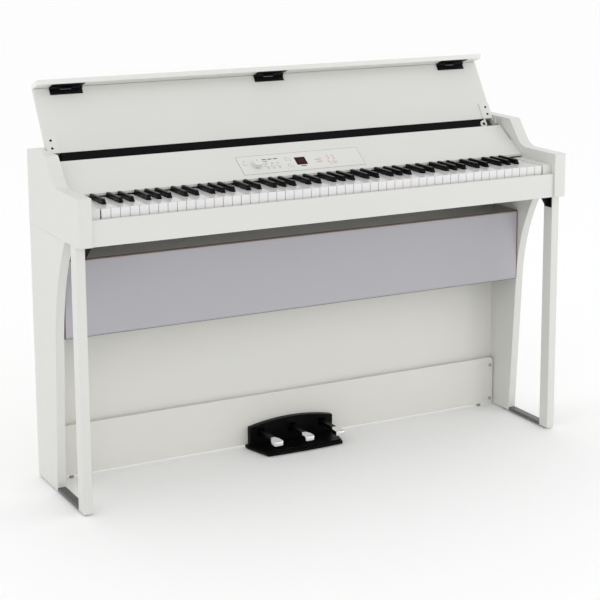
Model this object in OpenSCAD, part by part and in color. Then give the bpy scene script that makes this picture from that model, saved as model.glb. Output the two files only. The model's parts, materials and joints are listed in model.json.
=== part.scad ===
// Slim digital piano on a board stand: lid that doubles as a music rest, 88 keys
// that each rock on one steel rod, a control plate with knob and buttons, and a
// pedal unit with three pedals. X runs along the keyboard, -Y faces the player,
// Z is up, and the origin is on the floor under the middle of the outline.

/* [Case] */
// Width over both cheeks
case_w = 1346; // [1336:1:1360]
// Depth from the cheek fronts to the back of the case
case_d = 347; // [344:1:360]
// Height of the cheek tops behind the controls
case_h = 829; // [820:1:840]
// Height of the arms beside the keys
arm_h = 761; // [757:1:764]
// Height of the keybed's underside
bed_z = 646; // [640:1:648]
// Thickness of the cheeks
cheek_t = 32.6; // [28:0.2:33]

/* [Stand] */
// Thickness of the stand's boards and legs
board_t = 22; // [18:1:22]
// Depth of a front leg
leg_d = 37; // [34:1:44]
// Height of the floor glides
glide_h = 4; // [3:1:6]
// Height of the kick board's top edge
kick_h = 139; // [130:1:160]

/* [Keyboard] */
// Distance from one white key to the next
key_pitch = 23.5; // [23.3:0.05:23.5]
// Height of the white key tops
key_top = 731; // [729:1:732]
// How far a white key's front edge travels down
key_dip = 9.7; // [8:0.1:10]

/* [Lid] */
// Angle that the open lid leans back from upright
lid_lean = 32.2; // [30:0.1:34]
// Length of the lid panel from its pivot to its front edge
lid_len = 190.5; // [180:0.5:190.5]
// Thickness of the lid panel
lid_t = 14; // [12:1:14]

/* [Pedals] */
// Distance from one pedal to the next
pedal_pitch = 90; // [84:1:92]
// Height of the pedal tops
pedal_z = 48; // [46:1:50]

/* [Hidden] */

$fn = 48;
white = [0.87, 0.875, 0.85];
shade_white = [0.84, 0.83, 0.79];
black = [0.04, 0.04, 0.045];
steel = [0.55, 0.56, 0.54];

// the case's own frame has y = 0 near its middle; place() shifts it at the end
front_y = -175;
rear_y = front_y + case_d;
half_w = case_w / 2;
inner_x = half_w - cheek_t;
board_x = half_w - 0.4 - board_t;
bed_t = 22;
key_floor = bed_z + bed_t;

// keys
keys_x = -26 * key_pitch;
key_gap = 0.7;
key_front = -156;
key_notch = -110;
key_tail = 64;
key_under = key_top - 20;
pivot = [54, key_top - 12];
rod_r = 2;
rod_fit = 0.06;
black_w = 9.8;
black_top = key_top + 12;
// white keys before each note of an octave that starts at A, and each black key's shift
steps = [0, 1, 1, 2, 3, 3, 4, 4, 5, 6, 6, 7];
shifts = [0, 3, 0, 0, -2.5, 0, 2.5, 0, 0, -3, 0, 0];
last_note = 87;

// control fascia, drawn in a frame that slopes up from its front edge
fascia_front = [-20, 741];
fascia_back = [80, 807];
fascia_run = fascia_back - fascia_front;
fascia_a = atan2(fascia_run[1], fascia_run[0]);
fascia_len = norm(fascia_run);
fascia_t = 8;
plate_x = [-178, 166];
plate_s = [15, 81];
plate_t = 3;
board_depth = 15;

// lid, drawn in a frame at its pivot whose Z runs up the panel
lid_pivot = [107, case_h - 20];
lid_face = 5;
lid_x = inner_x - 2.4;
lid_back = lid_face + lid_t;
flap_a = 11.3;
flap_t = 11.8;
flap_reach = 32.5;
flap_back = lid_t / cos(flap_a) - 0.5;
ledge_top = 16;
barrel_r = 3;
barrel = [1.7, lid_len - 3.6];
leaf_t = 1.2;
hinge_x = [-557, -4, 553];
hinge_w = 84;

// pedals
kick_y = 112;
pedal_hinge = [kick_y - 7.5, pedal_z - 5];
pedal_x = [-pedal_pitch, 0, pedal_pitch];

// the open lid's rearmost corner sets the outline's depth
lid_corner = [lid_face + flap_back * cos(flap_a) - flap_t * sin(flap_a),
    lid_len + 0.3 + flap_back * sin(flap_a) + flap_t * cos(flap_a)];
rear_most = lid_pivot[0] + lid_corner[1] * sin(lid_lean) + lid_corner[0] * cos(lid_lean);
mid_y = (front_y + rear_most) / 2;

module place() { translate([0, -mid_y, 0]) children(); }

// points of an arc, from angle a0 to a1
function arc(c, r, a0, a1, n = 10) =
    [for (i = [0 : n]) let (a = a0 + (a1 - a0) * i / n) c + r * [cos(a), sin(a)]];

// a side view in (y, z), drawn out along X
module bar(x0, x1, pts) {
    translate([x0, 0, 0]) rotate([90, 0, 90]) linear_extrude(x1 - x0) polygon(pts);
}
module box(lo, hi) { translate(lo) cube(hi - lo); }
// a round rod along X
module rod(x0, x1, yz, r) {
    translate([x0, yz[0], yz[1]]) rotate([0, 90, 0]) cylinder(r = r, h = x1 - x0);
}
module both_sides() { children(); mirror([1, 0, 0]) children(); }
module side(s) { if (s < 0) mirror([1, 0, 0]) children(); else children(); }
module fascia_frame() {
    place() translate([0, fascia_front[0], fascia_front[1]])
        rotate([fascia_a, 0, 0]) children();
}
module lid_frame() {
    place() translate([0, lid_pivot[0], lid_pivot[1]]) rotate([-lid_lean, 0, 0]) children();
}

// ---- stand ----

// the board's front edge rises nearly upright, then sweeps forward under the cheek
sweep_z = 400;
sweep_y = 8.2;
sweep_r = 486;
sweep_a = 3.8;
function sweep(n = 14) = [for (i = [0 : n]) let (
    z = sweep_z + (bed_z - sweep_z) * i / n,
    a = asin(sin(sweep_a) + (z - sweep_z) / sweep_r))
    [sweep_y - sweep_r * (cos(sweep_a) - cos(a)), z]];

foot_y = 34.6; // the board's front edge at floor level
module side_board(s) {
    color(white) place() side(s) bar(board_x, board_x + board_t, concat(
        [[rear_y, bed_z], [rear_y, glide_h], [foot_y, glide_h]], sweep()));
}
leg_front = front_y + 24;
module front_leg(s) {
    color(white) place() side(s) box([board_x, leg_front, glide_h],
        [board_x + board_t, leg_front + leg_d, bed_z]);
}
module side_board_left() side_board(-1);
module side_board_right() side_board(1);
module front_leg_left() front_leg(-1);
module front_leg_right() front_leg(1);

// the bar's rear end is cut to the board's leaning edge
module foot_bars() {
    bar_top = 12;
    edge = foot_y - (foot_y - sweep_y) * (bar_top - glide_h) / (sweep_z - glide_h);
    color(steel) place() both_sides() bar(board_x + 1, board_x + board_t - 1,
        [[leg_front + leg_d, glide_h], [foot_y, glide_h], [edge, bar_top],
         [leg_front + leg_d, bar_top]]);
}
module glide(y) {
    translate([board_x + board_t / 2, y, 0]) cylinder(r = 9, h = glide_h);
}
module glides() {
    color(black) place() both_sides() {
        glide(leg_front + leg_d / 2);
        glide(foot_y + 20);
        glide(rear_y - 24);
        translate([606, kick_y + 7.5, 0]) cylinder(r = 6, h = 8);
    }
}
// angle brackets that tie the legs to the keybed
module corner_brackets() {
    y0 = leg_front + 2;
    x0 = board_x - 3;
    color(black) place() both_sides() {
        box([x0, y0, bed_z - 32], [board_x, y0 + 30, bed_z]);
        box([board_x - 28, y0, bed_z - 3], [x0, y0 + 30, bed_z]);
        translate([0, y0 + 17, 0]) rotate([90, 0, 0]) linear_extrude(3)
            polygon([[x0, bed_z - 30], [x0, bed_z - 3], [x0 - 23, bed_z - 3],
                [x0 - 6, bed_z - 30]]);
    }
}

// ---- case ----

slope_a = 51.1;
slope_foot = -16;
slope_head = slope_foot + (case_h - arm_h) / tan(slope_a);
function blend(r) = r * tan(slope_a / 2);
module cheek(s) {
    color(white) place() side(s) difference() {
        bar(inner_x, half_w, concat(
            [[front_y, arm_h - 2], [front_y, bed_z + 2], [front_y + 2, bed_z],
                [rear_y, bed_z], [rear_y, case_h]],
            arc([slope_head + blend(14), case_h - 14], 14, 90, 90 + slope_a),
            arc([slope_foot - blend(55), arm_h + 55], 55, slope_a - 90, -90),
            [[front_y + 2, arm_h]]));
        rod(inner_x - 1, inner_x + 16, lid_pivot, 4.05);
    }
}
module cheek_left() cheek(-1);
module cheek_right() cheek(1);

slip_back = key_front - 1;
module keybed() {
    color(shade_white) place()
        box([-inner_x, slip_back, bed_z], [inner_x, rear_y, key_floor]);
}
module key_slip() {
    color(white) place() bar(-inner_x, inner_x, [[slip_back - 12, bed_z],
        [slip_back, bed_z], [slip_back, key_top - 23], [slip_back - 10, key_top - 23],
        [slip_back - 12, key_top - 25]]);
}
module key_blocks() {
    color(white) place() both_sides()
        box([26 * key_pitch + 3, slip_back, key_floor],
            [inner_x, fascia_front[0] - 0.5, key_top + 1]);
}
module top_board() {
    lid_z = case_h - lid_t;
    lean = tan(lid_lean);
    y0 = lid_pivot[0] + lid_back / cos(lid_lean) + 0.4;
    color(white) place() bar(-inner_x, inner_x,
        [[y0 + (lid_z - lid_pivot[1]) * lean, lid_z], [rear_y, lid_z], [rear_y, case_h],
            [y0 + (case_h - lid_pivot[1]) * lean, case_h]]);
}
// four boards laid edge to edge leave a window for the power inlet
inlet = [-500, 700];
inlet_w = 24;
inlet_h = 20;
module rear_board() {
    x0 = inlet[0] - inlet_w / 2;
    x1 = inlet[0] + inlet_w / 2;
    color(white) place() for (b = [[-inner_x, x0, key_floor, case_h - lid_t],
            [x0, x1, key_floor, inlet[1] - inlet_h / 2],
            [x0, x1, inlet[1] + inlet_h / 2, case_h - lid_t],
            [x1, inner_x, key_floor, case_h - lid_t]])
        box([b[0], rear_y - 12, b[2]], [b[1], rear_y, b[3]]);
}
// dark floor of the well behind the fascia, under the lid's rear edge
module rear_tray() {
    color(black) place() bar(-inner_x, inner_x, [[74, 779], [rear_y - 12, 779],
        [rear_y - 12, 783], [78, 783], [78, 794.4], [74, 791.8]]);
}

// ---- controls ----

module control_fascia() {
    color(white) difference() {
        place() bar(-inner_x, inner_x, [[-20, 735], fascia_front, fascia_back,
            [80, 797.2], [-12, 736.5], [-12, 735]]);
        fascia_frame() {
            box([plate_x[0] - 0.4, plate_s[0] - 0.4, -plate_t],
                [plate_x[1] + 0.4, plate_s[1] + 0.4, 5]);
            box([plate_x[0] + 6, plate_s[0] + 6, -20], [plate_x[1] - 6, plate_s[1] - 6, 0]);
            both_sides() box([inner_x - 3, fascia_len - 62, -25],
                [inner_x + 1, fascia_len + 5, 5]);
        }
    }
}

knob = [-131, 47.5];
display = [[-22.5, 35], [7.5, 62.5]];
// each button: place along and up the slope, and its size
power = [-162, 52, 8, 8];
voices = [for (x = [-104.5, -88.5, -73]) [x, 41, 10, 6]];
song = [-44, 57.5, 9, 6];
metronome = [-44, 33.5, 9, 6];
value_down = [71, 39, 9, 7];
value_up = [86, 39, 9, 7];
buttons = concat([power, song, metronome, value_down, value_up], voices);
button_rise = 1.2;

module control_plate() {
    color(white) fascia_frame() difference() {
        box([plate_x[0], plate_s[0], -plate_t], [plate_x[1], plate_s[1], 0]);
        translate([knob[0], knob[1], -plate_t - 1]) cylinder(r = 3.05, h = plate_t + 2);
        box([display[0][0], display[0][1], -plate_t - 1],
            [display[1][0], display[1][1], 1]);
        for (b = buttons) translate([b[0], b[1], 0])
            cube([b[2] + 0.6, b[3] + 0.6, 3 * plate_t], center = true);
    }
}
module display_window() {
    color([0.16, 0.04, 0.1]) fascia_frame()
        box([display[0][0], display[0][1], -plate_t], [display[1][0], display[1][1], 0.3]);
}
module volume_knob() {
    color(white) fascia_frame() translate([knob[0], knob[1], 0]) difference() {
        union() {
            translate([0, 0, 0.4]) cylinder(r = 13, h = 3);
            translate([0, 0, 3.4]) cylinder(r = 12, h = 6.6);
            translate([0, 0, -11]) cylinder(r = 3, h = 12);
        }
        translate([-0.6, 5, 9.2]) cube([1.2, 8, 2]);
    }
}
module button(b) {
    color(white) fascia_frame() box([b[0] - b[2] / 2, b[1] - b[3] / 2, -11],
        [b[0] + b[2] / 2, b[1] + b[3] / 2, button_rise]);
}
module power_button() button(power);
module voice_button_1() button(voices[0]);
module voice_button_2() button(voices[1]);
module voice_button_3() button(voices[2]);
module song_button() button(song);
module metronome_button() button(metronome);
module value_down_button() button(value_down);
module value_up_button() button(value_up);

module main_board() {
    color([0.1, 0.35, 0.16]) fascia_frame() {
        box([-172, 21, -board_depth], [160, 75, -board_depth + 1.6]);
        box([-24, 33.5, -board_depth + 1.6], [9, 64, -plate_t]);
    }
}

// headphone sockets under the keybed, and the power inlet in the rear board
jack_x = [-560, -535];
jack_r = 3.25;
module sockets() {
    color(black) place() {
        difference() {
            box([-578, -108, bed_z - 15], [-517, -60, bed_z]);
            for (x = jack_x) translate([x, -109, bed_z - 8]) rotate([-90, 0, 0])
                cylinder(r = jack_r, h = 31);
        }
        difference() {
            box([inlet[0] - inlet_w / 2, rear_y - 30, inlet[1] - inlet_h / 2],
                [inlet[0] + inlet_w / 2, rear_y - 1, inlet[1] + inlet_h / 2]);
            translate([inlet[0], rear_y, inlet[1]]) rotate([90, 0, 0])
                cylinder(r = 2.8, h = 15);
        }
    }
}

// ---- lid ----

// the panel's front end is cut to the flap's angle
module lid_panel() {
    end = lid_len + lid_t * tan(flap_a);
    color(white) lid_frame() bar(-lid_x, lid_x, [[lid_face, ledge_top],
        [lid_back, ledge_top], [lid_back, end], [lid_face, lid_len]]);
}
// dark strip at the panel's foot that sheet music stands on
module music_ledge() {
    half = lid_x - 31.6;
    color(black) lid_frame() bar(-half, half, [[lid_face - 2, -8], [lid_back - 2, -8],
        [lid_back, -6], [lid_back, ledge_top], [lid_face - 2, ledge_top]]);
}
// each arm: an end plate on the pivot pin and a plate screwed to the panel's face; the
// right arm also carries a round stop in front of the ledge
module lid_arms() {
    stop = [lid_x - 35.5, lid_face - 2, 0];
    stop_t = 2.8;
    color(steel) lid_frame() {
        both_sides() {
            bar(lid_x - 4, lid_x, concat([[17, ledge_top], [lid_face, ledge_top],
                [lid_face, 20], [2.5, 20]], arc([0, 0], 10, 75.5, 360, 20), [[17, 8]]));
            rod(lid_x - 1, inner_x + 14, [0, 0], 4);
            box([lid_x - 31, lid_face - 2.5, ledge_top], [lid_x, lid_face, 62]);
        }
        translate(stop) rotate([90, 0, 0]) cylinder(r = 10, h = stop_t);
        box([lid_x - 31, stop[1] - stop_t, 4], [lid_x - 27, stop[1], 19]);
    }
}
// the flap caps the panel and leans inward, with its front edge cut back
module front_flap() {
    color(white) lid_frame() translate([0, lid_face, lid_len + 0.3])
        rotate([flap_a, 0, 0]) bar(-lid_x, lid_x, [[-flap_reach, 0],
            [-flap_reach - 6, flap_t], [flap_back, flap_t], [flap_back, 0]]);
}
// three butt hinges in the corner between the panel and the flap
knuckle = hinge_w / 3;
module panel_hinge_leaves() {
    color(black) lid_frame() for (x = hinge_x) translate([x - hinge_w / 2, 0, 0]) {
        for (k = [0, 2]) {
            rod(k * knuckle, (k + 1) * knuckle - 0.3 * (1 - k / 2), barrel, barrel_r);
            box([k * knuckle, barrel[0] + 1.9, barrel[1] - 6],
                [(k + 1) * knuckle - 0.3 * (1 - k / 2), lid_face, barrel[1] - 1]);
        }
        box([0, lid_face - leaf_t, lid_len - 20], [hinge_w, lid_face, lid_len - 7]);
        rod(0, hinge_w, barrel, 1.5);
    }
}
module flap_hinge_leaves() {
    color(black) lid_frame() for (x = hinge_x) translate([x - hinge_w / 2, 0, 0])
        difference() {
            union() {
                rod(knuckle, 2 * knuckle - 0.3, barrel, barrel_r);
                translate([0, lid_face, lid_len + 0.3]) rotate([flap_a, 0, 0]) {
                    box([0, -flap_reach + 1, -leaf_t], [hinge_w, -10, 0]);
                    box([knuckle, -11, -leaf_t], [2 * knuckle - 0.3, -3, 0]);
                }
            }
            rod(-1, hinge_w + 1, barrel, 1.55);
        }
}

// ---- stand panels and speakers ----

panel_x = board_x;
kick_t = 15;
wall_y = kick_y + kick_t;
module back_panel() {
    color(shade_white) place()
        box([-panel_x, wall_y, kick_h - 19], [panel_x, wall_y + 10, bed_z]);
}
screw_x = 638;
screw_z = [20, kick_h - 22];
// the kick board stops short of the side boards, with rounded top corners
module kick_board() {
    end = panel_x - 3;
    corner = 10;
    color(shade_white) place() difference() {
        translate([0, kick_y + kick_t, 0]) rotate([90, 0, 0]) linear_extrude(kick_t)
            polygon(concat([[-end, 8], [end, 8]],
                arc([end - corner, kick_h - corner], corner, 0, 90, 6),
                arc([corner - end, kick_h - corner], corner, 90, 180, 6)));
        for (s = [-1, 1], z = screw_z) translate([s * screw_x, kick_y - 1, z])
            rotate([-90, 0, 0]) cylinder(r = 2, h = 20);
    }
}
module kick_screws() {
    color(steel) place() for (s = [-1, 1], z = screw_z)
        translate([s * screw_x, kick_y, z]) rotate([-90, 0, 0]) {
            translate([0, 0, -2]) cylinder(r = 4.5, h = 2);
            cylinder(r = 2, h = 15);
        }
}
speaker_y = 9;
speaker_z = [388, 581];
driver_x = [-400, 400];
driver_r = 62;
mid_z = (speaker_z[0] + speaker_z[1]) / 2;
module speaker_box() {
    color(black) place() difference() {
        box([-panel_x, speaker_y, speaker_z[0]], [panel_x, wall_y, speaker_z[1]]);
        box([-panel_x + 12, speaker_y + 12, speaker_z[0] + 12],
            [panel_x - 12, wall_y - 12, speaker_z[1] - 12]);
        for (x = driver_x) translate([x, speaker_y - 1, mid_z]) rotate([-90, 0, 0])
            cylinder(r = driver_r, h = 14);
    }
}
module speaker_cloth() {
    color([0.66, 0.66, 0.69]) place()
        box([-panel_x + 1, speaker_y - 4, speaker_z[0] + 2],
            [panel_x - 1, speaker_y, speaker_z[1] - 2]);
}
module speaker_drivers() {
    color([0.12, 0.12, 0.13]) place() for (x = driver_x)
        translate([x, speaker_y + 2, mid_z]) rotate([-90, 0, 0]) rotate_extrude()
            polygon([[0, 22], [18, 22], [driver_r - 6, 2], [driver_r - 0.4, 2],
                [driver_r - 0.4, 10], [driver_r - 6, 10], [34, 34], [34, 62], [0, 62]]);
}

// ---- pedal unit ----

plate_y = kick_y - 15;
plate_half = 122;
plate_top = 71;
arch_r = (plate_half * plate_half + 14 * 14) / 28;
module pedal_housing() {
    color(black) place() difference() {
        union() {
            intersection() {
                box([-plate_half, plate_y, 2], [plate_half, kick_y, plate_top]);
                translate([0, plate_y - 5, plate_top - arch_r]) rotate([-90, 0, 0])
                    cylinder(r = arch_r, h = 30, $fn = 200);
            }
            translate([0, 0, 2]) linear_extrude(7)
                polygon([[-130, kick_y], [-130, plate_y - 3], [-109, 14.5], [-60, 11.5], [0, 10],
                    [60, 11.5], [109, 14.5], [130, plate_y - 3], [130, kick_y]]);
            translate([0, 0, 9]) linear_extrude(4)
                polygon([[-123, plate_y], [-105, 20], [0, 16], [105, 20], [123, plate_y]]);
        }
        for (x = pedal_x) box([x - 9, plate_y - 1, pedal_z - 18],
            [x + 9, kick_y + 1, pedal_z + 4]);
        rod(-pedal_pitch - 18, pedal_pitch + 18, pedal_hinge, 3);
    }
}
module pedal_rod() {
    color(steel) place() rod(-pedal_pitch - 18, pedal_pitch + 18, pedal_hinge, 3);
}
module pedal(x) {
    tip = -13;
    color([0.8, 0.8, 0.82]) place() translate([x, 0, 0]) difference() {
        union() {
            intersection() {
                bar(-13.5, 13.5, concat([[pedal_hinge[0], pedal_z - 9],
                    [pedal_hinge[0], pedal_z]],
                    arc([tip + 7, pedal_z - 7], 7, 90, 270, 8),
                    [[23, pedal_z - 14], [33, pedal_z - 9]]));
                linear_extrude(100) union() {
                    translate([-8, 22]) square([16, 88]);
                    translate([-13.5, tip + 9]) square([27, 15]);
                    translate([0, tip + 15.5]) intersection() {
                        circle(r = 15.5);
                        square([27, 31], center = true);
                    }
                    polygon([[-13.5, tip + 23], [13.5, tip + 23], [8, 35], [-8, 35]]);
                }
            }
            rod(-8, 8, pedal_hinge, 6.5);
        }
        rod(-20, 20, pedal_hinge, 3.06);
    }
}
module pedal_left() pedal(pedal_x[0]);
module pedal_middle() pedal(pedal_x[1]);
module pedal_right() pedal(pedal_x[2]);

// ---- keyboard ----

lug_x = 26 * key_pitch;
module key_frame() {
    color(steel) place() difference() {
        union() {
            box([-lug_x, -149, key_floor], [lug_x, 77, key_floor + 3]);
            box([-lug_x, -147, key_floor + 3], [lug_x, -133, key_under - 15]);
            box([-lug_x, 26, key_floor + 3], [lug_x, 77, key_under - 5]);
            both_sides() box([lug_x, 40, key_floor], [lug_x + 1.8, 77, pivot[1] + 6]);
        }
        rod(-2 * lug_x, 2 * lug_x, pivot, rod_r);
    }
}
module key_rod() {
    color([0.75, 0.75, 0.77]) place() rod(-lug_x - 1.8, lug_x + 1.8, pivot, rod_r);
}

function is_black(n) = let (p = (n + 120) % 12) len([for (b = [1, 4, 6, 9, 11]) if (b == p) b]) > 0;
function line_x(n) = keys_x + key_pitch * (7 * floor(n / 12) + steps[n % 12]);
function black_x(n) = line_x(n) + shifts[n % 12];
// a tail stops short of a black neighbour, or runs straight back without one
function tail_left(n) = n > 0 && is_black(n - 1)
    ? black_x(n - 1) + black_w / 2 + key_gap : line_x(n) + key_gap / 2;
function tail_right(n) = n < last_note && is_black(n + 1)
    ? black_x(n + 1) - black_w / 2 - key_gap : line_x(n) + key_pitch - key_gap / 2;

module white_key(n) {
    x0 = line_x(n) + key_gap / 2;
    x1 = line_x(n) + key_pitch - key_gap / 2;
    translate([0, 0, key_under]) linear_extrude(key_top - key_under)
        polygon([[x0, key_front], [x1, key_front], [x1, key_notch],
            [tail_right(n), key_notch], [tail_right(n), key_tail],
            [tail_left(n), key_tail], [tail_left(n), key_notch], [x0, key_notch]]);
    box([x0, key_front, key_under - 4], [x1, key_front + 4, key_under + 1]);
}
module black_key(n) {
    y0 = key_notch + 1;
    bar(black_x(n) - black_w / 2, black_x(n) + black_w / 2, [[y0, key_under],
        [key_tail, key_under], [key_tail, key_top - 2], [-22.5, key_top - 2],
        [-22.5, black_top - 1], [-23.5, black_top], [y0 + 7, black_top],
        [y0 + 5.5, black_top - 0.6], [y0, key_top + 1]]);
}
module keys(name) {
    color(is_black(name) ? black : [0.95, 0.95, 0.93]) place()
        for (n = [name : 12 : last_note]) difference() {
            if (is_black(n)) black_key(n); else white_key(n);
            rod(line_x(n) - 30, line_x(n) + 50, pivot, rod_r + rod_fit);
        }
}
module keys_a() keys(0);
module keys_a_sharp() keys(1);
module keys_b() keys(2);
module keys_c() keys(3);
module keys_c_sharp() keys(4);
module keys_d() keys(5);
module keys_d_sharp() keys(6);
module keys_e() keys(7);
module keys_f() keys(8);
module keys_f_sharp() keys(9);
module keys_g() keys(10);
module keys_g_sharp() keys(11);

side_board_left();
side_board_right();
front_leg_left();
front_leg_right();
foot_bars();
glides();
corner_brackets();
cheek_left();
cheek_right();
keybed();
key_slip();
key_blocks();
control_fascia();
control_plate();
display_window();
volume_knob();
power_button();
voice_button_1();
voice_button_2();
voice_button_3();
song_button();
metronome_button();
value_down_button();
value_up_button();
music_ledge();
top_board();
rear_board();
rear_tray();
lid_panel();
lid_arms();
front_flap();
panel_hinge_leaves();
flap_hinge_leaves();
back_panel();
kick_board();
kick_screws();
speaker_box();
speaker_cloth();
speaker_drivers();
pedal_housing();
pedal_left();
pedal_middle();
pedal_right();
pedal_rod();
key_frame();
key_rod();
main_board();
sockets();
keys_a();
keys_a_sharp();
keys_b();
keys_c();
keys_c_sharp();
keys_d();
keys_d_sharp();
keys_e();
keys_f();
keys_f_sharp();
keys_g();
keys_g_sharp();
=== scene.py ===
"""Looks of a white digital piano on its board stand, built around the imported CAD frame."""
import json
import math

import bmesh
import bpy
from mathutils import Matrix, Vector

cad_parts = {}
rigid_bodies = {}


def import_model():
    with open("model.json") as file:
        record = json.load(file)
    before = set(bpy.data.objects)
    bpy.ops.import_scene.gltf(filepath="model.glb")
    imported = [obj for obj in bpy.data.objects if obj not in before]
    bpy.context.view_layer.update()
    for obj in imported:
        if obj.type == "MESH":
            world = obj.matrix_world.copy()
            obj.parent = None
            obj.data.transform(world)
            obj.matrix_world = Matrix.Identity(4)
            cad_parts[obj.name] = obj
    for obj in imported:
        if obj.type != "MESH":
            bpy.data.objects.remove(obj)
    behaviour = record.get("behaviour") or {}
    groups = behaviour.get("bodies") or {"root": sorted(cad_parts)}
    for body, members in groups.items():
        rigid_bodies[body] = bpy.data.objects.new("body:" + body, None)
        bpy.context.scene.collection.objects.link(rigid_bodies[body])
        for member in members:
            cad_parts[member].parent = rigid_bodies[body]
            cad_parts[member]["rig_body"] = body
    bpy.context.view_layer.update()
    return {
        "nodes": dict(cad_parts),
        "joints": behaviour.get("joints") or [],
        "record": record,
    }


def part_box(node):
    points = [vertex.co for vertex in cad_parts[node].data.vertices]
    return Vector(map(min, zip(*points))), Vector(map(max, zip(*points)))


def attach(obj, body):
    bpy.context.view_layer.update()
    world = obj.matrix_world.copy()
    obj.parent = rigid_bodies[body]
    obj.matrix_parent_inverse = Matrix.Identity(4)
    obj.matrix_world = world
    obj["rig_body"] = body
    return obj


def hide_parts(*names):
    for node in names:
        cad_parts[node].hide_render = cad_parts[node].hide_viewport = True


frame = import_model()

MM = 0.001
joints = {j["name"]: j for j in frame["joints"]}
node_body = {n: o["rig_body"] for n, o in frame["nodes"].items()}
node_slot = {s["node"]: s["material_slot"] for s in frame["record"]["subparts"]}


# ---- camera ----

def make_camera():
    """Looks from the bass end, a little above the keys."""
    yaw, pitch = 0.5073, 0.1936
    cam = bpy.data.cameras.new("camera")
    cam.sensor_width = 36
    cam.lens = 101.9
    cam.shift_x, cam.shift_y = -0.085, -0.15
    cam.clip_end = 60
    o = bpy.data.objects.new("camera", cam)
    bpy.context.scene.collection.objects.link(o)
    o.location = (-1.9561, -3.7738, 1.4719)
    ahead = Vector((math.sin(yaw) * math.cos(pitch), math.cos(yaw) * math.cos(pitch),
                    -math.sin(pitch)))
    o.rotation_mode = "QUATERNION"
    o.rotation_quaternion = ahead.to_track_quat("-Z", "Y")
    bpy.context.scene.camera = o


make_camera()


# ---- materials ----

class Nodes:
    """Short calls for building a node material around one Principled shader."""

    def __init__(self, name, colour, roughness, metallic=0.0, **sockets):
        self.mat = bpy.data.materials.new(name)
        self.mat.use_nodes = True
        self.tree = self.mat.node_tree
        self.shader = self.tree.nodes["Principled BSDF"]
        self.shader.inputs["Base Color"].default_value = (*colour, 1)
        self.shader.inputs["Roughness"].default_value = roughness
        self.shader.inputs["Metallic"].default_value = metallic
        for key, value in sockets.items():
            self.shader.inputs[key.replace("_", " ")].default_value = value
        self.place = self.tree.nodes.new("ShaderNodeTexCoord").outputs["Object"]
        self.bumps = None

    def add(self, kind, **inputs):
        node = self.tree.nodes.new("ShaderNode" + kind)
        for key, value in inputs.items():
            socket = node.inputs[key.replace("_", " ")]
            if isinstance(value, bpy.types.NodeSocket):
                self.tree.links.new(value, socket)
            else:
                socket.default_value = value
        return node

    def stretched(self, scale):
        return self.add("Mapping", Vector=self.place, Scale=scale).outputs["Vector"]

    def noise(self, scale, detail=3.0, stretch=None, rough=0.5):
        where = self.stretched(stretch) if stretch else self.place
        return self.add("TexNoise", Vector=where, Scale=scale, Detail=detail,
                        Roughness=rough).outputs["Fac"]

    def wave(self, scale, axis, distortion=0.0):
        node = self.add("TexWave", Vector=self.place, Scale=scale, Distortion=distortion)
        node.wave_type = "BANDS"
        node.bands_direction = axis
        return node.outputs["Fac"]

    def math(self, kind, a, b):
        node = self.tree.nodes.new("ShaderNodeMath")
        node.operation = kind
        for socket, value in zip(node.inputs, (a, b)):
            if isinstance(value, bpy.types.NodeSocket):
                self.tree.links.new(value, socket)
            else:
                socket.default_value = value
        return node.outputs[0]

    def ramp(self, fac, low, high, a, b):
        """Blends colour a at low to colour b at high."""
        node = self.add("ValToRGB", Fac=fac)
        node.color_ramp.elements[0].position = low
        node.color_ramp.elements[1].position = high
        node.color_ramp.elements[0].color = (*a, 1)
        node.color_ramp.elements[1].color = (*b, 1)
        return node.outputs["Color"]

    def spread(self, fac, low, high):
        """Maps 0 to 1 onto low to high."""
        return self.add("MapRange", Value=fac, To_Min=low, To_Max=high).outputs["Result"]

    def colour(self, socket):
        self.tree.links.new(socket, self.shader.inputs["Base Color"])

    def roughness(self, socket):
        self.tree.links.new(socket, self.shader.inputs["Roughness"])

    def bump(self, height, depth):
        """Adds relief of that depth in metres."""
        node = self.add("Bump", Height=height, Distance=depth, Strength=1.0)
        if self.bumps:
            self.tree.links.new(self.bumps, node.inputs["Normal"])
        self.bumps = node.outputs["Normal"]
        self.tree.links.new(self.bumps, self.shader.inputs["Normal"])


def shade(colour, k):
    """The colour made k times as light."""
    return tuple(min(1.0, c * k) for c in colour)


def lacquer(name, colour, roughness, coat=0.15):
    """Sprayed satin lacquer: faint orange peel, slow cloudiness and fine handling haze."""
    m = Nodes(name, colour, roughness, Coat_Weight=coat, Coat_Roughness=0.22)
    cloud = m.noise(2.2, 4.0)
    m.colour(m.ramp(cloud, 0.3, 0.7, shade(colour, 0.982), shade(colour, 1.012)))
    m.roughness(m.spread(m.noise(14.0, 5.0), roughness - 0.05, roughness + 0.07))
    m.bump(m.noise(420.0, 2.0), 0.00004)
    m.bump(m.noise(60.0, 1.0), 0.00005)
    return m.mat


def moulded(name, colour, roughness, grain=1400.0, depth=0.00003, gloss=0.5, patchy=0.1):
    """Moulded plastic with a fine spark grain."""
    m = Nodes(name, colour, roughness, Specular_IOR_Level=gloss)
    m.colour(m.ramp(m.noise(30.0, 4.0), 0.3, 0.7, shade(colour, 1 - patchy),
                    shade(colour, 1 + patchy)))
    m.roughness(m.spread(m.noise(90.0, 4.0), roughness - 0.05, roughness + 0.08))
    m.bump(m.noise(grain, 2.0), depth)
    return m.mat


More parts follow.
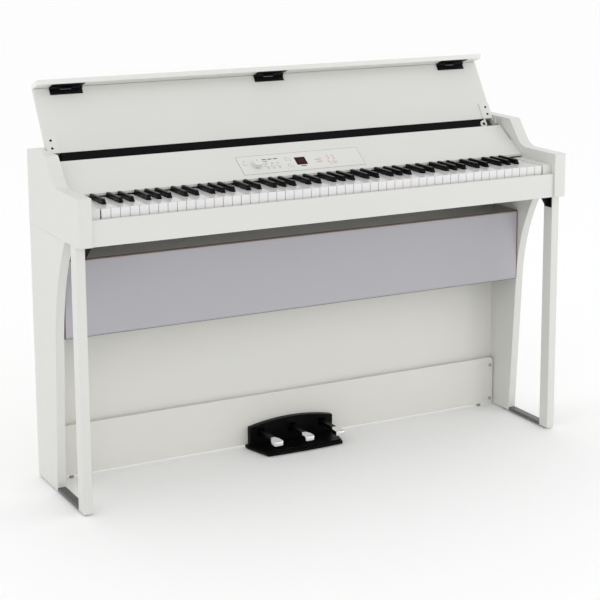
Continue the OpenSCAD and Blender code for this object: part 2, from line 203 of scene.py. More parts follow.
def key_plastic(name, colour, roughness, grain, depth, coat, gloss=0.5):
    """Polished or satin key tops, with fine lengthwise rubbing from the fingers."""
    m = Nodes(name, colour, roughness, Coat_Weight=coat, Coat_Roughness=0.08,
              Specular_IOR_Level=gloss)
    m.colour(m.ramp(m.noise(18.0, 3.0), 0.3, 0.7, shade(colour, 0.985), shade(colour, 1.01)))
    rub = m.noise(40.0, 4.0, stretch=(14, 1, 6))
    m.roughness(m.spread(rub, roughness - 0.03, roughness + 0.06))
    m.bump(m.noise(grain, 2.0), depth)
    return m.mat


def metal(name, colour, roughness, brushed=(1, 30, 30), depth=0.00002):
    """Brushed or plated metal, with scratches along the direction of the short scale."""
    m = Nodes(name, colour, roughness, metallic=1.0)
    lines = m.noise(40.0, 6.0, stretch=brushed, rough=0.7)
    m.roughness(m.spread(lines, max(roughness - 0.06, 0.02), roughness + 0.1))
    m.colour(m.ramp(m.noise(25.0, 3.0), 0.3, 0.75, shade(colour, 0.9), shade(colour, 1.06)))
    m.bump(lines, depth)
    return m.mat


def chrome():
    """Polished plating with a few hairline shoe scratches."""
    m = Nodes("pedal_chrome", (0.82, 0.82, 0.83), 0.05, metallic=1.0)
    hair = m.noise(60.0, 8.0, stretch=(9, 1, 9), rough=0.75)
    m.roughness(m.spread(hair, 0.02, 0.12))
    m.bump(m.noise(220.0, 2.0), 0.000004)
    return m.mat


def speaker_weave():
    """Plain weave of light grey yarn with a slight lavender cast, threads 0.9 mm apart."""
    base = (0.46, 0.453, 0.487)
    m = Nodes("speaker_weave", base, 0.85, Sheen_Weight=0.25, Sheen_Roughness=0.5)
    thread, radians_in_a_unit = 0.0009, 20
    scale = 2 * math.pi / thread / radians_in_a_unit
    warp, weft = m.wave(scale, "X"), m.wave(scale, "Z")
    weave = m.math("MAXIMUM", warp, weft)
    slub = m.noise(160.0, 4.0, stretch=(1, 1, 12))
    mixed = m.math("MULTIPLY", weave, m.spread(slub, 0.82, 1.05))
    m.colour(m.ramp(mixed, 0.35, 0.95, shade(base, 0.86), shade(base, 1.06)))
    m.bump(weave, 0.00012)
    m.bump(m.noise(30.0, 2.0), 0.0002)
    return m.mat


def felt(name, colour):
    """Pressed wool with loose fibres."""
    m = Nodes(name, colour, 0.95, Sheen_Weight=0.6, Sheen_Roughness=0.6)
    fibre = m.noise(900.0, 6.0, rough=0.8)
    m.colour(m.ramp(fibre, 0.3, 0.7, shade(colour, 0.7), shade(colour, 1.2)))
    m.bump(fibre, 0.0003)
    return m.mat


def board_fibre():
    """Green circuit board with a faint glass weave."""
    m = Nodes("circuit_board", (0.03, 0.2, 0.07), 0.35, Coat_Weight=0.4)
    m.colour(m.ramp(m.noise(70.0, 5.0), 0.45, 0.5, (0.02, 0.15, 0.05), (0.05, 0.28, 0.1)))
    m.bump(m.wave(400.0, "X"), 0.00003)
    return m.mat


def smoked_window():
    """Dark red-violet window over the display."""
    m = Nodes("smoked_window", (0.02, 0.004, 0.012), 0.16, Specular_IOR_Level=0.1)
    m.colour(m.ramp(m.noise(40.0, 2.0), 0.3, 0.7, (0.016, 0.003, 0.01), (0.026, 0.005, 0.015)))
    m.bump(m.noise(300.0, 1.0), 0.000005)
    return m.mat


def glow(name, colour, strength):
    """A lamp behind a dark filter."""
    m = Nodes(name, shade(colour, 0.15), 0.4, Specular_IOR_Level=0.1)
    m.shader.inputs["Emission Color"].default_value = (*colour, 1)
    m.shader.inputs["Emission Strength"].default_value = strength
    m.bump(m.noise(500.0, 1.0), 0.000005)
    return m.mat


def ink(name, colour):
    """Screen printing, slightly raised and uneven."""
    m = Nodes(name, colour, 0.5)
    m.colour(m.ramp(m.noise(900.0, 3.0), 0.3, 0.8, colour, shade(colour, 1.15)))
    m.bump(m.noise(1500.0, 2.0), 0.00001)
    return m.mat


WHITE = (0.685, 0.69, 0.66)
M = {
    "white_lacquer": lacquer("white_lacquer", WHITE, 0.36),
    # the front flap's lacquer is the white made 1.18 times as light: painted light on the flap,
    # whose underside is lit from below
    "flap_lacquer": lacquer("flap_lacquer", shade(WHITE, 1.18), 0.36),
    "shaded_panel": lacquer("shaded_panel", (0.74, 0.735, 0.69), 0.42, 0.05),
    "black_trim": moulded("black_trim", (0.0025, 0.0025, 0.003), 0.34, gloss=0.08),
    "gloss_black": lacquer("gloss_black", (0.055, 0.049, 0.05), 0.2, 0.6),
    "black_metal": metal("black_coated_steel", (0.02, 0.02, 0.022), 0.4, (1, 20, 20)),
    "steel": metal("plated_steel", (0.5, 0.51, 0.5), 0.34),
    "bar_steel": metal("bar_steel", (0.17, 0.17, 0.165), 0.4),
    "chrome": chrome(),
    "white_plastic": moulded("white_plastic", (0.70, 0.705, 0.68), 0.34, 1600.0, 0.00001,
                             patchy=0.008),
    "white_keys": key_plastic("white_key_plastic", (0.765, 0.755, 0.755), 0.2, 250.0, 0.000006,
                              0.5),
    "black_keys": key_plastic("black_key_plastic", (0.0025, 0.0025, 0.003), 0.26, 1300.0,
                              0.00002, 0.0, 0.1),
    "frame_plastic": moulded("frame_plastic", (0.09, 0.09, 0.1), 0.5),
    "speaker_cloth": speaker_weave(),
    "display": smoked_window(),
    "driver": moulded("driver_cone", (0.03, 0.03, 0.033), 0.6, 500.0, 0.0002),
    "circuit": board_fibre(),
    "red_felt": felt("red_felt", (0.10, 0.008, 0.01)),
    "grey_felt": felt("grey_felt", (0.28, 0.28, 0.27)),
    "red_light": glow("red_light", (0.6, 0.02, 0.06), 0.16),
    "grey_ink": ink("grey_ink", (0.13, 0.13, 0.135)),
    "dark_ink": ink("dark_ink", (0.04, 0.04, 0.045)),
    "pale_ink": ink("pale_ink", (0.33, 0.34, 0.33)),
    "red_ink": ink("red_ink", (0.62, 0.2, 0.22)),
    "edge_brown": moulded("edge_brown", (0.2, 0.09, 0.055), 0.5),
}


# ---- helpers for pieces ----

def add_piece(name, mesh, body, material):
    """A new piece with that mesh and material, which rides on the body."""
    o = bpy.data.objects.new(name, mesh)
    bpy.context.scene.collection.objects.link(o)
    mesh.materials.clear()
    mesh.materials.append(M[material])
    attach(o, body)
    return o


def mesh_from(name, bm, smooth=True):
    """A mesh of what has been built in bm, which is used up."""
    mesh = bpy.data.meshes.new(name)
    bm.normal_update()
    bm.to_mesh(mesh)
    bm.free()
    mesh.polygons.foreach_set("use_smooth", [smooth] * len(mesh.polygons))
    return mesh


def modify(o, kind, **settings):
    """Adds a modifier with these settings."""
    m = o.modifiers.new(kind.lower(), kind)
    for key, value in settings.items():
        setattr(m, key, value)
    return m


def soften(node, width, segments=2, angle=30):
    """Rounds a CAD node's edges as a router or a mould leaves them."""
    o = frame["nodes"][node]
    modify(o, "WELD", merge_threshold=0.00001)
    modify(o, "DECIMATE", decimate_type="DISSOLVE", angle_limit=math.radians(0.5))
    modify(o, "BEVEL", width=width, segments=segments, limit_method="ANGLE",
           angle_limit=math.radians(angle), use_clamp_overlap=True, miter_outer="MITER_ARC")
    modify(o, "WEIGHTED_NORMAL", keep_sharp=False, weight=60)
    return o


def finish_node(node, material=None):
    """Gives a CAD node its procedural material."""
    o = frame["nodes"][node]
    mat = M[material or node_slot[node]]
    if not o.material_slots:
        o.data.materials.append(mat)
    for s in o.material_slots:
        s.material = mat


class Axes:
    """A flat working frame: across, up and out are unit vectors, origin a point in metres."""

    def __init__(self, origin, across, up):
        self.origin = Vector(origin)
        self.across = Vector(across).normalized()
        self.up = Vector(up).normalized()
        self.out = self.across.cross(self.up)

    def matrix(self, a, u, o=0.0):
        p = self.origin + self.across * a + self.up * u + self.out * o
        m = Matrix((self.across, self.up, self.out)).transposed().to_4x4()
        m.translation = p
        return m


def connected(seeds):
    """These vertices and all that edges join to them."""
    found, todo = set(seeds), list(seeds)
    while todo:
        for e in todo.pop().link_edges:
            for v in e.verts:
                if v not in found:
                    found.add(v)
                    todo.append(v)
    return found


def tile(bm, matrix, w, h, d, bevel=0.0, segments=2):
    """A block w by h that stands d out of the plane, with its outer edges rounded."""
    made = bmesh.ops.create_cube(bm, size=1.0)["verts"]
    bmesh.ops.scale(bm, verts=made, vec=(w, h, d))
    bmesh.ops.translate(bm, verts=made, vec=(0, 0, d / 2))
    if bevel:
        edges = {e for v in made for e in v.link_edges
                 if any(end.co.z > d * 0.5 for end in e.verts)}
        made = bmesh.ops.bevel(bm, geom=list(edges), offset=bevel, segments=segments,
                               affect="EDGES", profile=0.5, clamp_overlap=True)["verts"]
        made = list(connected(made))
    bmesh.ops.transform(bm, matrix=matrix, verts=made)


def lathe(bm, matrix, outline, steps=32):
    """Turns (radius, height) points round the local Z axis; the ends close at radius 0."""
    rings = []
    for r, z in outline:
        if r == 0:
            rings.append([bm.verts.new(matrix @ Vector((0, 0, z)))])
            continue
        rings.append([bm.verts.new(matrix @ Vector((r * math.cos(a), r * math.sin(a), z)))
                      for a in (2 * math.pi * k / steps for k in range(steps))])
    for low, high in zip(rings, rings[1:]):
        for k in range(steps):
            n = (k + 1) % steps
            quad = [low[k % len(low)], low[n % len(low)], high[n % len(high)],
                    high[k % len(high)]]
            face = [v for i, v in enumerate(quad) if v not in quad[:i]]
            if len(face) > 2:
                bm.faces.new(face)


def screw_head(bm, matrix, r, rise=0.0012):
    """A pan head with a cross recess."""
    dish, slot_rise = 0.00018, 0.00012
    lathe(bm, matrix, [(0, rise - dish), (r * 0.22, rise - dish), (r * 0.3, rise),
                       (r * 0.72, rise * 0.9), (r * 0.95, rise * 0.45), (r, 0), (0, 0)], 24)
    for turn in (0, math.pi / 2):
        slot = matrix @ Matrix.Rotation(turn, 4, "Z") @ Matrix.Translation((0, 0, rise * 0.92))
        tile(bm, slot, r * 1.1, r * 0.22, slot_rise)


# ---- CAD nodes: rounded edges and materials ----

# how far each node's edges are rounded, in millimetres
EDGES = {
    1.2: ["side_board_left", "side_board_right", "front_leg_left", "front_leg_right",
          "cheek_left", "cheek_right", "key_slip", "top_board", "lid_panel", "front_flap",
          "kick_board", "pedal_housing"],
    0.8: ["control_fascia", "key_blocks", "back_panel", "keybed", "speaker_box",
          "foot_bars"],
    0.5: ["music_ledge", "rear_tray", "corner_brackets", "lid_arms", "sockets"],
    0.3: ["control_plate", "panel_hinge_leaves", "flap_hinge_leaves", "glides",
          "display_window", "kick_screws"],
}
for size, names in EDGES.items():
    for n in names:
        soften(n, size * MM)
# nodes whose finish isn't that of their slot; the front flap's is a lighter copy of the white
# lacquer, which is painted light
SPECIAL = {"glides": "grey_felt", "lid_arms": "white_plastic", "front_flap": "flap_lacquer",
           "foot_bars": "bar_steel"}
for n in frame["nodes"]:
    finish_node(n, SPECIAL.get(n))


# ---- keys ----

WHITE_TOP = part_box("keys_c")[1].z


def key_islands(node):
    """Copies a key node's mesh, welded, and returns it with one vertex set per key."""
    bm = bmesh.new()
    bm.from_mesh(frame["nodes"][node].data)
    bmesh.ops.remove_doubles(bm, verts=bm.verts[:], dist=0.00001)
    bmesh.ops.dissolve_limit(bm, angle_limit=math.radians(0.5), verts=bm.verts[:],
                             edges=bm.edges[:])
    left, keys = set(bm.verts), []
    while left:
        keys.append(connected([left.pop()]))
        left -= keys[-1]
    return bm, keys


def black_keys(node):
    """Sharps with tapered flanks and a softly rounded crown."""
    bm, keys = key_islands(node)
    lean, lean_height = 0.09, 0.006
    for group in keys:
        xs = [v.co.x for v in group]
        mid = (min(xs) + max(xs)) / 2
        for v in group:
            up = v.co.z - WHITE_TOP
            if up > 0.0002:
                v.co.x = mid + (v.co.x - mid) * (1 - lean * up / lean_height)
    upper = [e for e in bm.edges if min(v.co.z for v in e.verts) > WHITE_TOP - 0.003
             and len(e.link_faces) == 2 and e.calc_face_angle(0) > math.radians(12)]
    bmesh.ops.bevel(bm, geom=upper, offset=0.0009, segments=3, affect="EDGES",
                    clamp_overlap=True)
    o = add_piece("sharps_" + node[5:], mesh_from(node + "_shape", bm), node_body[node],
                  "black_keys")
    modify(o, "WEIGHTED_NORMAL", keep_sharp=False)
    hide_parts(node)


def white_keys(node):
    """Naturals with eased top edges."""
    bm, _ = key_islands(node)
    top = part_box(node)[1].z
    edges = [e for e in bm.edges if max(v.co.z for v in e.verts) > top - 0.0005
             and len(e.link_faces) == 2 and e.calc_face_angle(0) > math.radians(30)]
    bmesh.ops.bevel(bm, geom=edges, offset=0.0004, segments=2, affect="EDGES",
                    clamp_overlap=True)
    o = add_piece("naturals_" + node[5:], mesh_from(node + "_shape", bm), node_body[node],
                  "white_keys")
    modify(o, "WEIGHTED_NORMAL", keep_sharp=False)
    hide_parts(node)


for n in sorted(frame["nodes"]):
    if n.startswith("keys_"):
        (black_keys if n.endswith("_sharp") else white_keys)(n)


def key_felt():
    """A strip of red felt that closes the gap behind the keys."""
    half = -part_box("keys_a")[0].x
    behind_lip, clear, depth, height = 0.012, 0.0003, 0.007, 0.0026
    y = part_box("control_fascia")[0].y + behind_lip
    bm = bmesh.new()
    tile(bm, Matrix.Translation((0, y, WHITE_TOP + clear)), 2 * half, depth, height, 0.0008)
    add_piece("rear_key_felt", mesh_from("rear_key_felt", bm), "case", "red_felt")


key_felt()


# ---- control plate ----

knob = joints["volume_turn"]
normal = Vector(knob["axis"])
panel = Axes(knob["pos_m"], (1, 0, 0), normal.cross(Vector((1, 0, 0))))


def centre_of(node):
    """A control's middle in the panel's own across and up, and its top, in metres."""
    corners = [v.co for v in frame["nodes"][node].data.vertices]
    top = max(corners, key=lambda c: (c - panel.origin).dot(panel.out))
    points = [c for c in corners if (c - top).dot(panel.out) > -0.0001]
    mid = sum(points, Vector()) / len(points) - panel.origin
    return mid.dot(panel.across), mid.dot(panel.up), (top - panel.origin).dot(panel.out)


def extent(node):
    """The node's left, right, lower and upper limits on the panel, and its lowest depth."""
    rel = [v.co - panel.origin for v in frame["nodes"][node].data.vertices]
    across, up, out = ([r.dot(d) for r in rel] for d in (panel.across, panel.up, panel.out))
    return min(across), max(across), min(up), max(up), min(out)


def volume_knob():
    """A turned knob with a fluted skirt, dished cap and pointer line."""
    bm = bmesh.new()
    at = panel.matrix(0, 0)
    profile = [(0, 0.4), (12.9, 0.4), (13.0, 1.0), (12.9, 3.0), (12.3, 3.6), (11.9, 4.0),
               (11.5, 8.8), (11.1, 9.6), (10.3, 10.0), (8.0, 9.7), (0, 9.4)]
    lathe(bm, at, [(r * MM, z * MM) for r, z in profile], 72)
    flutes, flute_depth = 24, 0.012
    for v in bm.verts:
        local = at.inverted() @ v.co
        if 0.0038 < local.z < 0.009 and local.xy.length > 0.011:
            a = math.atan2(local.y, local.x)
            local.xy *= 1 - flute_depth * (0.5 + 0.5 * math.cos(a * flutes))
            v.co = at @ local
    o = add_piece("volume_knob_cap", mesh_from("volume_knob_cap", bm), "volume_knob",
                  "white_plastic")
    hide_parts("volume_knob")
    bm = bmesh.new()
    tile(bm, panel.matrix(0, 7.5 * MM, 0.0096), 0.0012, 0.0058, 0.0003, 0.0001)
    add_piece("volume_pointer", mesh_from("volume_pointer", bm), "volume_knob", "grey_ink")


def button_caps():
    """Domed caps that stand for the plain button blocks."""
    for n in sorted(frame["nodes"]):
        if not (n.endswith("_button") or n.startswith("voice_button")):
            continue
        a, u, top = centre_of(n)
        left, right, low, high, foot = extent(n)
        bm = bmesh.new()
        tile(bm, panel.matrix(a, u, foot), right - left, high - low, top - foot, 0.0009, 4)
        cap = add_piece(n + "_cap", mesh_from(n + "_cap", bm), node_body[n],
                        "white_plastic")
        modify(cap, "WEIGHTED_NORMAL", keep_sharp=False)
        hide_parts(n)


def plate_marks():
    """Generic print: short dashes, a ring and arrows, with no lettering; and a pale grey line
    along the plate's edges, which is painted edge shade.
    """
    grey, red, pale, dark = (bmesh.new() for _ in range(4))
    thin, w = 0.00008, 0.0009

    def dash(bm, a, u, length, height=w):
        tile(bm, panel.matrix(a, u, 0), length, height, thin)

    def ring(bm, a, u, r, width=0.0006):
        at = panel.matrix(a, u, 0)
        lathe(bm, at, [(r - width, 0), (r - width, thin), (r, thin), (r, 0)], 40)

    def arrow(bm, a, u, size, way):
        at = panel.matrix(a, u, 0)
        pts = [(-size / 2, -way * size / 2), (size / 2, -way * size / 2), (0, way * size / 2)]
        verts = [bm.verts.new(at @ Vector((x, y, thin))) for x, y in pts]
        face = bm.faces.new(verts)
        if face.normal.dot(panel.out) < 0:
            face.normal_flip()

    # a pale grey line along each of the plate's four edges: painted shade at the plate's edges
    left, right, low, high, _ = extent("control_plate")
    for edge in (left, right):
        dash(pale, edge, (low + high) / 2, w, high - low)
    for edge in (low, high):
        dash(pale, (left + right) / 2, edge, right - left + w)
    ticks, first, apart, tick_r = 11, 240, 30, 0.0178
    for k in range(ticks):
        turn = Matrix.Rotation(math.radians(first - apart * k), 4, "Z")
        spot = turn @ Matrix.Translation((tick_r, 0, 0))
        tile(pale, panel.matrix(0, 0, 0) @ spot, 0.0015, 0.0005, thin)
    # each mark below is placed from the middle of its control
    a, u, _ = centre_of("power_button")
    ring(grey, a, u + 0.0115, 0.0026)
    row_step = 0.0036
    for n in ("voice_button_1", "voice_button_2", "voice_button_3"):
        a, u, _ = centre_of(n)
        dash(dark, a - 0.001, u + 0.0235, 0.0115, 0.0030)
        for row in range(2):
            dash(grey, a, u + 0.0065 + row_step * row, 0.0066)
            dash(grey, a, u - 0.0075 - row_step * row, 0.0066)
    a, u, _ = centre_of("voice_button_1")
    dash(red, a, u + 0.0165, 0.0125, 0.0034)
    for n in ("song_button", "metronome_button"):
        a, u, _ = centre_of(n)
        dash(grey, a, u + 0.0066, 0.0085)
        dash(pale, a + 0.009, u - 0.001, 0.0009, 0.013)
    a, u, _ = centre_of("display_window")
    dash(dark, a + 0.001, u - 0.0185, 0.0155, 0.0030)
    lo = centre_of("value_down_button")
    hi = centre_of("value_up_button")
    mid = (lo[0] + hi[0]) / 2
    arrow(red, lo[0], lo[1] + 0.0085, 0.0055, -1)
    arrow(red, hi[0], hi[1] + 0.0085, 0.0055, 1)
    for a, u, _ in (lo, hi):
        for row in range(4):
            dash(pale, a, u + 0.0145 + 0.0032 * row, 0.0085 - 0.0016 * row)
    dash(red, mid, lo[1] - 0.0085, 0.022, 0.0012)
    for k in range(4):
        dash(red if k % 2 else grey, mid - 0.038 + 0.006 * (k % 2), lo[1] + 0.0005 + 0.0045 * k,
             0.017 - 0.003 * (k % 2), 0.0011)
    for name, bm, colour in (("plate_print_grey", grey, "grey_ink"),
                             ("plate_print_red", red, "red_ink"),
                             ("plate_print_dark", dark, "dark_ink"),
                             ("plate_outline", pale, "pale_ink")):
        add_piece(name, mesh_from(name, bm, False), "case", colour)


def display_digits():
    """Three seven-segment figures behind the dark window's face, showing 120."""
    a, u, top = centre_of("display_window")
    bm = bmesh.new()
    h, w, t, pitch, joint, raised = 0.0086, 0.0042, 0.0008, 0.0068, 0.0005, 0.00006
    spots = {"t": (0, h / 2, w, t), "m": (0, 0, w, t), "b": (0, -h / 2, w, t),
             "tl": (-w / 2, h / 4, t, h / 2), "tr": (w / 2, h / 4, t, h / 2),
             "bl": (-w / 2, -h / 4, t, h / 2), "br": (w / 2, -h / 4, t, h / 2)}
    figures = {1: "tr br", 2: "t tr m bl b", 0: "t tl tr bl br b"}
    for k, figure in enumerate((1, 2, 0)):
        for name in figures[figure].split():
            x, y, sx, sy = spots[name]
            at = panel.matrix(a + (k - 1) * pitch + x, u + y, top)
            tile(bm, at, max(sx - joint, t), max(sy - joint, t), raised)
    add_piece("display_figures", mesh_from("display_figures", bm, False), "case",
              "red_light")


volume_knob()
button_caps()
plate_marks()
display_digits()


# ---- lid ----

def widest_face(node, facing):
    """The node's largest face that looks roughly along facing: its middle and normal."""
    mesh = frame["nodes"][node].data
    mesh.calc_loop_triangles()
    best = {}
    for t in mesh.loop_triangles:
        if t.normal.dot(Vector(facing)) > 0.5:
            key = tuple(round(c, 3) for c in t.normal)
            area, _ = best.get(key, (0, None))
            best[key] = (area + t.area, t)
    tri = max(best.values(), key=lambda p: p[0])[1]
    return Vector(tri.center), tri.normal.copy()


def face_axes(node, facing, through):
    """Axes on that face whose origin is where it passes nearest to a point."""
    spot, normal = widest_face(node, facing)
    through = Vector(through)
    origin = through - normal * (through - spot).dot(normal)
    return Axes(origin, (1, 0, 0), normal.cross(Vector((1, 0, 0))))


def hinge_lefts():
    """The left edge of each of the three hinges."""
    leaves = frame["nodes"]["panel_hinge_leaves"].data
    xs = sorted({round(v.co.x, 4) for v in leaves.vertices})
    wide_gap = 0.2
    return xs[:1] + [b for a, b in zip(xs, xs[1:]) if b - a > wide_gap]


def lid_screws():
    """Two screws on each lid arm, one on its stop, and three on each hinge leaf."""
    arms, leaves, flap_leaves = bmesh.new(), bmesh.new(), bmesh.new()
    pivot = joints["lid_close"]["pos_m"]
    inner = face_axes("lid_panel", (0, -1, 0), pivot)
    arm_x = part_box("lid_panel")[1].x - 0.013
    stop_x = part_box("lid_panel")[1].x - 0.0355
    plate_t, stop_out = 0.0025, 0.0048
    for side in (-1, 1):
        for up in (0.029, 0.050):
            screw_head(arms, inner.matrix(side * arm_x, up, plate_t), 0.0032, 0.0011)
    screw_head(arms, inner.matrix(stop_x, 0, stop_out), 0.0042, 0.0012)
    barrel = joints["flap_fold"]["pos_m"]
    panel_leaf = face_axes("lid_panel", (0, -1, 0), barrel)
    flap_leaf = face_axes("front_flap", (0, -0.3, -1), barrel)
    width, leaf, panel_row, flap_row = 0.084, 0.0012, -0.0115, 0.016
    for left in hinge_lefts():
        for share in (0.14, 0.5, 0.86):
            x = left + width * share
            screw_head(leaves, panel_leaf.matrix(x, panel_row, leaf), 0.0024, 0.0006)
            screw_head(flap_leaves, flap_leaf.matrix(x, flap_row, leaf), 0.0026, 0.0007)
    for name, bm, body in (("lid_arm_screws", arms, "lid"),
                           ("panel_leaf_screws", leaves, "lid"),
                           ("flap_leaf_screws", flap_leaves, "flap")):
        add_piece(name, mesh_from(name, bm), body, "black_metal")


lid_screws()


# ---- speaker ----

def wrapped(half, radius, depth, steps):
    """(place, depth) pairs for cloth that runs across a frame and round both its edges."""
    flat = half - radius
    arc = [(flat + radius * math.sin(a), radius - radius * math.cos(a))
           for a in (math.pi / 2 * k / 5 for k in range(6))]
    side = arc + [(half, depth)]
    middle = [(-flat + 2 * flat * k / steps, 0.0) for k in range(1, steps)]
    return [(-p, d) for p, d in reversed(side)] + middle + side


def speaker_front():
    """Cloth stretched over a frame and wrapped round its edges, with faint slack waves."""
    lo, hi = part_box("speaker_cloth")
    bead, clear = 0.0018, 0.0004
    w, h, d = hi.x - lo.x - 2 * bead, hi.z - lo.z - 2 * bead, hi.y - lo.y - clear
    mid_z, radius, slack = (hi.z + lo.z) / 2, 0.0022, 0.0005
    columns, rows = wrapped(w / 2, radius, d, 160), wrapped(h / 2, radius, d, 28)
    bm = bmesh.new()
    grid = []
    for z, back_z in rows:
        line = []
        for x, back_x in columns:
            edge = max(0, 1 - (2 * abs(z) / h) ** 4) * max(0, 1 - (2 * abs(x) / w) ** 12)
            wave = (math.sin(9 * x + 14 * z) + 0.7 * math.sin(23 * x - 31 * z + 1)
                    + 0.5 * math.sin(47 * x + 5 * z))
            y = lo.y + slack + min(back_x + back_z, d - slack) - slack * 0.45 * wave * edge
            line.append(bm.verts.new((x, y, mid_z + z)))
        grid.append(line)
    for a, b in zip(grid, grid[1:]):
        for k in range(len(a) - 1):
            bm.faces.new((a[k], a[k + 1], b[k + 1], b[k]))
    cloth = add_piece("speaker_front", mesh_from("speaker_front", bm), "case",
                      "speaker_cloth")
    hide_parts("speaker_cloth")
    front = Axes((0, hi.y, mid_z), (1, 0, 0), (0, 0, 1))
    bm, low = bmesh.new(), bmesh.new()
    for side in (-1, 1):
        tile(bm if side > 0 else low, front.matrix(0, side * (hi.z - lo.z - bead) / 2),
             hi.x - lo.x, bead, d * 0.7, 0.0005)
        tile(bm, front.matrix(side * (hi.x - lo.x - bead) / 2, 0), bead,
             hi.z - lo.z - 2 * bead, d * 0.7, 0.0005)
    add_piece("speaker_bead", mesh_from("speaker_bead", bm), "case", "edge_brown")
    add_piece("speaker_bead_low", mesh_from("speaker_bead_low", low), "case",
              "speaker_cloth")


speaker_front()


# ---- pedals ----

def pedal_shape(node):
    """A lever: a flat arm, and a thick chromed toe with a rounded nose; the arm is given black
    trim, a painted reflection of the black housing in chrome.
    """
    lo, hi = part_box(node)
    pivot = joints[node + "_press"]["pos_m"]
    x, front, back, top = (lo.x + hi.x) / 2, lo.y, pivot[1] - 0.002, pivot[2] + 0.005
    wide, slim, steps = (hi.x - lo.x) / 2, 0.0075, 36
    toe, taper, nose, lip, chromed = 0.024, 0.016, 0.012, 0.005, 0.0375
    toe_half, thinner = 0.007, 0.0025
    outline, section = 3.2, 0.3
    # millimetres behind the nose, close together where it is round
    stops = [0.02, 0.15, 0.45, 1.0, 1.8, 2.8, 4.2, 6.0, 8.0, 11.0, 15.0, 20.0, 25.0, 29.0]
    stops += [32.0, 35.0, 38.0, 41.0, 44.0, 48.0, 54.0, 62.0, 75.0, 90.0]
    rings = []
    for y in [front + k * MM for k in stops] + [back]:
        run = y - front
        s = min(max((run - toe) / taper, 0), 1)
        s = s * s * (3 - 2 * s)
        round_off = (1 - (1 - min(run / nose, 1)) ** outline) ** (1 / outline)
        half = (wide + (slim - wide) * s) * round_off
        thick = (toe_half - thinner * s) * math.sqrt(1 - (1 - min(run / lip, 1)) ** 2)
        middle = top - toe_half + thinner * s
        ring = []
        for j in range(steps):
            a = 2 * math.pi * j / steps
            c, sn = math.cos(a), math.sin(a)
            px = half * math.copysign(abs(c) ** section, c)
            pz = thick * math.copysign(abs(sn) ** section, sn)
            ring.append((x + px, y, middle + pz))
        rings.append(ring)
    cut = next(i for i, ring in enumerate(rings) if ring[0][1] - front > chromed)
    # past the chromed toe the arm takes black trim instead of chrome: a painted reflection of
    # the black housing
    for part, material, spans in (("_lever", "chrome", rings[:cut + 1]),
                                  ("_arm", "black_trim", rings[cut:])):
        bm = bmesh.new()
        loops = [[bm.verts.new(p) for p in ring] for ring in spans]
        for a, b in zip(loops, loops[1:]):
            for j in range(steps):
                n = (j + 1) % steps
                bm.faces.new((a[j], a[n], b[n], b[j]))
        bm.faces.new(loops[0])
        bm.faces.new(reversed(loops[-1]))
        bmesh.ops.recalc_face_normals(bm, faces=bm.faces[:])
        o = add_piece(node + part, mesh_from(node + part, bm), node_body[node], material)
        modify(o, "EDGE_SPLIT", split_angle=math.radians(50))
        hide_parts(node)
    hub = Axes((x, pivot[1], pivot[2]), (0, 1, 0), (0, 0, 1))
    bm = bmesh.new()
    half, bore, r, ease = 0.0078, 0.0031, 0.0065, 0.0005
    lathe(bm, hub.matrix(0, 0, -half), [(bore, 0), (r - ease, 0), (r, ease),
          (r, 2 * half - ease), (r - ease, 2 * half), (bore, 2 * half), (bore, 0)], 32)
    add_piece(node + "_hub", mesh_from(node + "_hub", bm), node_body[node], "black_trim")


for n in ("pedal_left", "pedal_middle", "pedal_right"):
    pedal_shape(n)


def pedal_trim():
    """A raised rim along the arched plate, and a collar round each pedal's slot."""
    plate_top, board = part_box("pedal_housing")[1].z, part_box("kick_board")[0].y
    front = board - 0.015
    half, crown, steps = 0.122, 0.014, 40
    rim, rise, collar, below = 0.0028, 0.0012, 0.0016, 0.002
    arch = (half * half + crown * crown) / (2 * crown)
    spots = [(x, plate_top - arch + math.sqrt(arch * arch - x * x))
             for x in (half * (2 * k / steps - 1) for k in range(steps + 1))]
    bm = bmesh.new()
    for (x0, z0), (x1, z1) in zip(spots, spots[1:]):
        along = Axes(((x0 + x1) / 2, front, (z0 + z1) / 2 - 0.0016), (x1 - x0, 0, z1 - z0),
                     (0, 0, 1))
        overlap = 1.02
        tile(bm, along.matrix(0, 0), math.hypot(x1 - x0, z1 - z0) * overlap, rim, rise,
             0.0005)
    plate = Axes((0, front, 0), (1, 0, 0), (0, 0, 1))
    for n in ("pedal_left", "pedal_middle", "pedal_right"):
        x, _, z = joints[n + "_press"]["pos_m"]
        for side in (-1, 1):
            tile(bm, plate.matrix(x + side * 0.0110, z - below), collar, 0.0272, rise,
                 0.0004)
        tile(bm, plate.matrix(x, z + 0.0108), 0.0236, collar, rise, 0.0004)
        gap = Axes((x, board, z - below), (1, 0, 0), (0, 0, 1))
        tile(bm, gap.matrix(0, 0), 0.0178, 0.0218, 0.0006)
    add_piece("pedal_plate_trim", mesh_from("pedal_plate_trim", bm), "case", "black_trim")


pedal_trim()


# ---- fasteners and fittings seen from other sides ----

def panel_screws():
    """Screws along the back panel and rear board, as seen from behind."""
    bm = bmesh.new()
    r, rise = 0.0035, 0.0014
    lo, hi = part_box("back_panel")
    back = Axes((0, hi.y, 0), (-1, 0, 0), (0, 0, 1))
    for k in range(9):
        x = lo.x + 0.02 + (hi.x - lo.x - 0.04) * k / 8
        for z in (lo.z + 0.012, hi.z - 0.012):
            screw_head(bm, back.matrix(-x, z, 0), r, rise)
    for k in range(1, 5):
        for x in (lo.x + 0.012, hi.x - 0.012):
            screw_head(bm, back.matrix(-x, lo.z + (hi.z - lo.z) * k / 5, 0), r, rise)
    lo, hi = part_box("rear_board")
    back = Axes((0, hi.y, 0), (-1, 0, 0), (0, 0, 1))
    head, proud = 0.0012, 0.0002
    for k in range(7):
        x = lo.x + 0.03 + (hi.x - lo.x - 0.06) * k / 6
        for z in (lo.z + 0.02, hi.z - 0.02):
            screw_head(bm, back.matrix(-x, z, proud - head), r, head)
    add_piece("back_screws", mesh_from("back_screws", bm), "case", "steel")


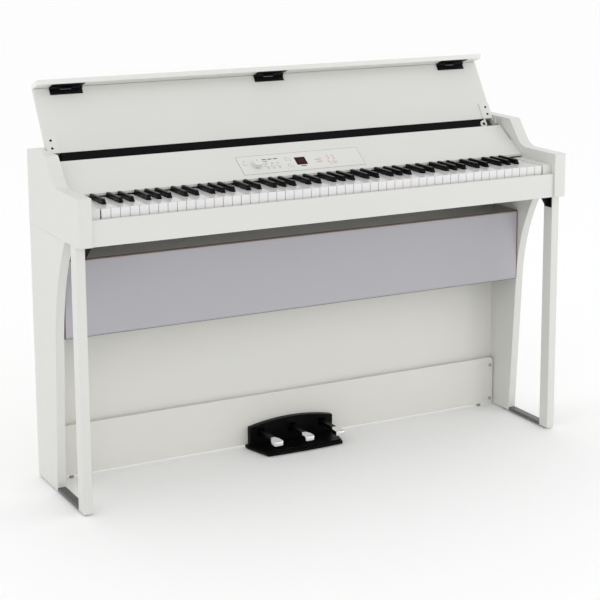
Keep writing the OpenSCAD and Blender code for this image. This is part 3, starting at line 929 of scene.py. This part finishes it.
def socket_rings():
    """Threaded collars round the headphone sockets, and a collar in the power inlet."""
    bm = bmesh.new()
    for m in frame["record"]["mounts"]:
        if m["kind"] != "bore":
            continue
        axis = Vector(m["axis"])
        mouth = Vector(m["pos_m"]) + axis * m["dims"]["length_mm"] / 2 * MM
        side = axis.cross(Vector((0, 0, 1)))
        r = m["dims"]["r_mm"] * MM
        at = Axes(mouth, side, (0, 0, 1) if side.cross(Vector((0, 0, 1))).dot(axis) > 0
                  else (0, 0, -1))
        wall, rise, ease = 0.0019, 0.0012, 0.0003
        lathe(bm, at.matrix(0, 0, 0), [(r, 0), (r + ease, rise), (r + wall - ease, rise),
              (r + wall, rise - ease), (r + wall, 0), (r, 0)], 36)
    add_piece("socket_collars", mesh_from("socket_collars", bm), "case", "steel")


panel_screws()
socket_rings()


# ---- stage ----

def make_stage():
    """A pale floor under an even white sky."""
    floor = bpy.data.meshes.new("floor")
    s = 30
    floor.from_pydata([(-s, -s, 0), (s, -s, 0), (s, s, 0), (-s, s, 0)], [], [(0, 1, 2, 3)])
    o = bpy.data.objects.new("floor", floor)
    bpy.context.scene.collection.objects.link(o)
    m = Nodes("pale_floor", (0.985, 0.985, 0.985), 0.7)
    m.bump(m.noise(40.0, 3.0), 0.00005)
    floor.materials.append(m.mat)

    world = bpy.data.worlds.new("studio")
    bpy.context.scene.world = world
    world.use_nodes = True
    sky = world.node_tree.nodes["Background"]
    sky.inputs["Color"].default_value = (1, 1, 1, 1)
    sky.inputs["Strength"].default_value = 1.0


def area_light(name, place, target, size, power):
    """A soft rectangular light that faces its target."""
    light = bpy.data.lights.new(name, "AREA")
    light.shape = "RECTANGLE"
    light.size, light.size_y = size
    light.energy = power
    o = bpy.data.objects.new(name, light)
    bpy.context.scene.collection.objects.link(o)
    o.location = place
    o.rotation_mode = "QUATERNION"
    o.rotation_quaternion = (Vector(target) - Vector(place)).to_track_quat("-Z", "Y")


make_stage()
area_light("left", (-3.4, -1.6, 2.6), (0, 0, 0.5), (2.5, 2.5), 8)
area_light("right", (3.2, -2.6, 0.9), (0.3, 0, 0.6), (2.5, 1.4), 15)
bpy.context.scene.view_settings.view_transform = "Standard"
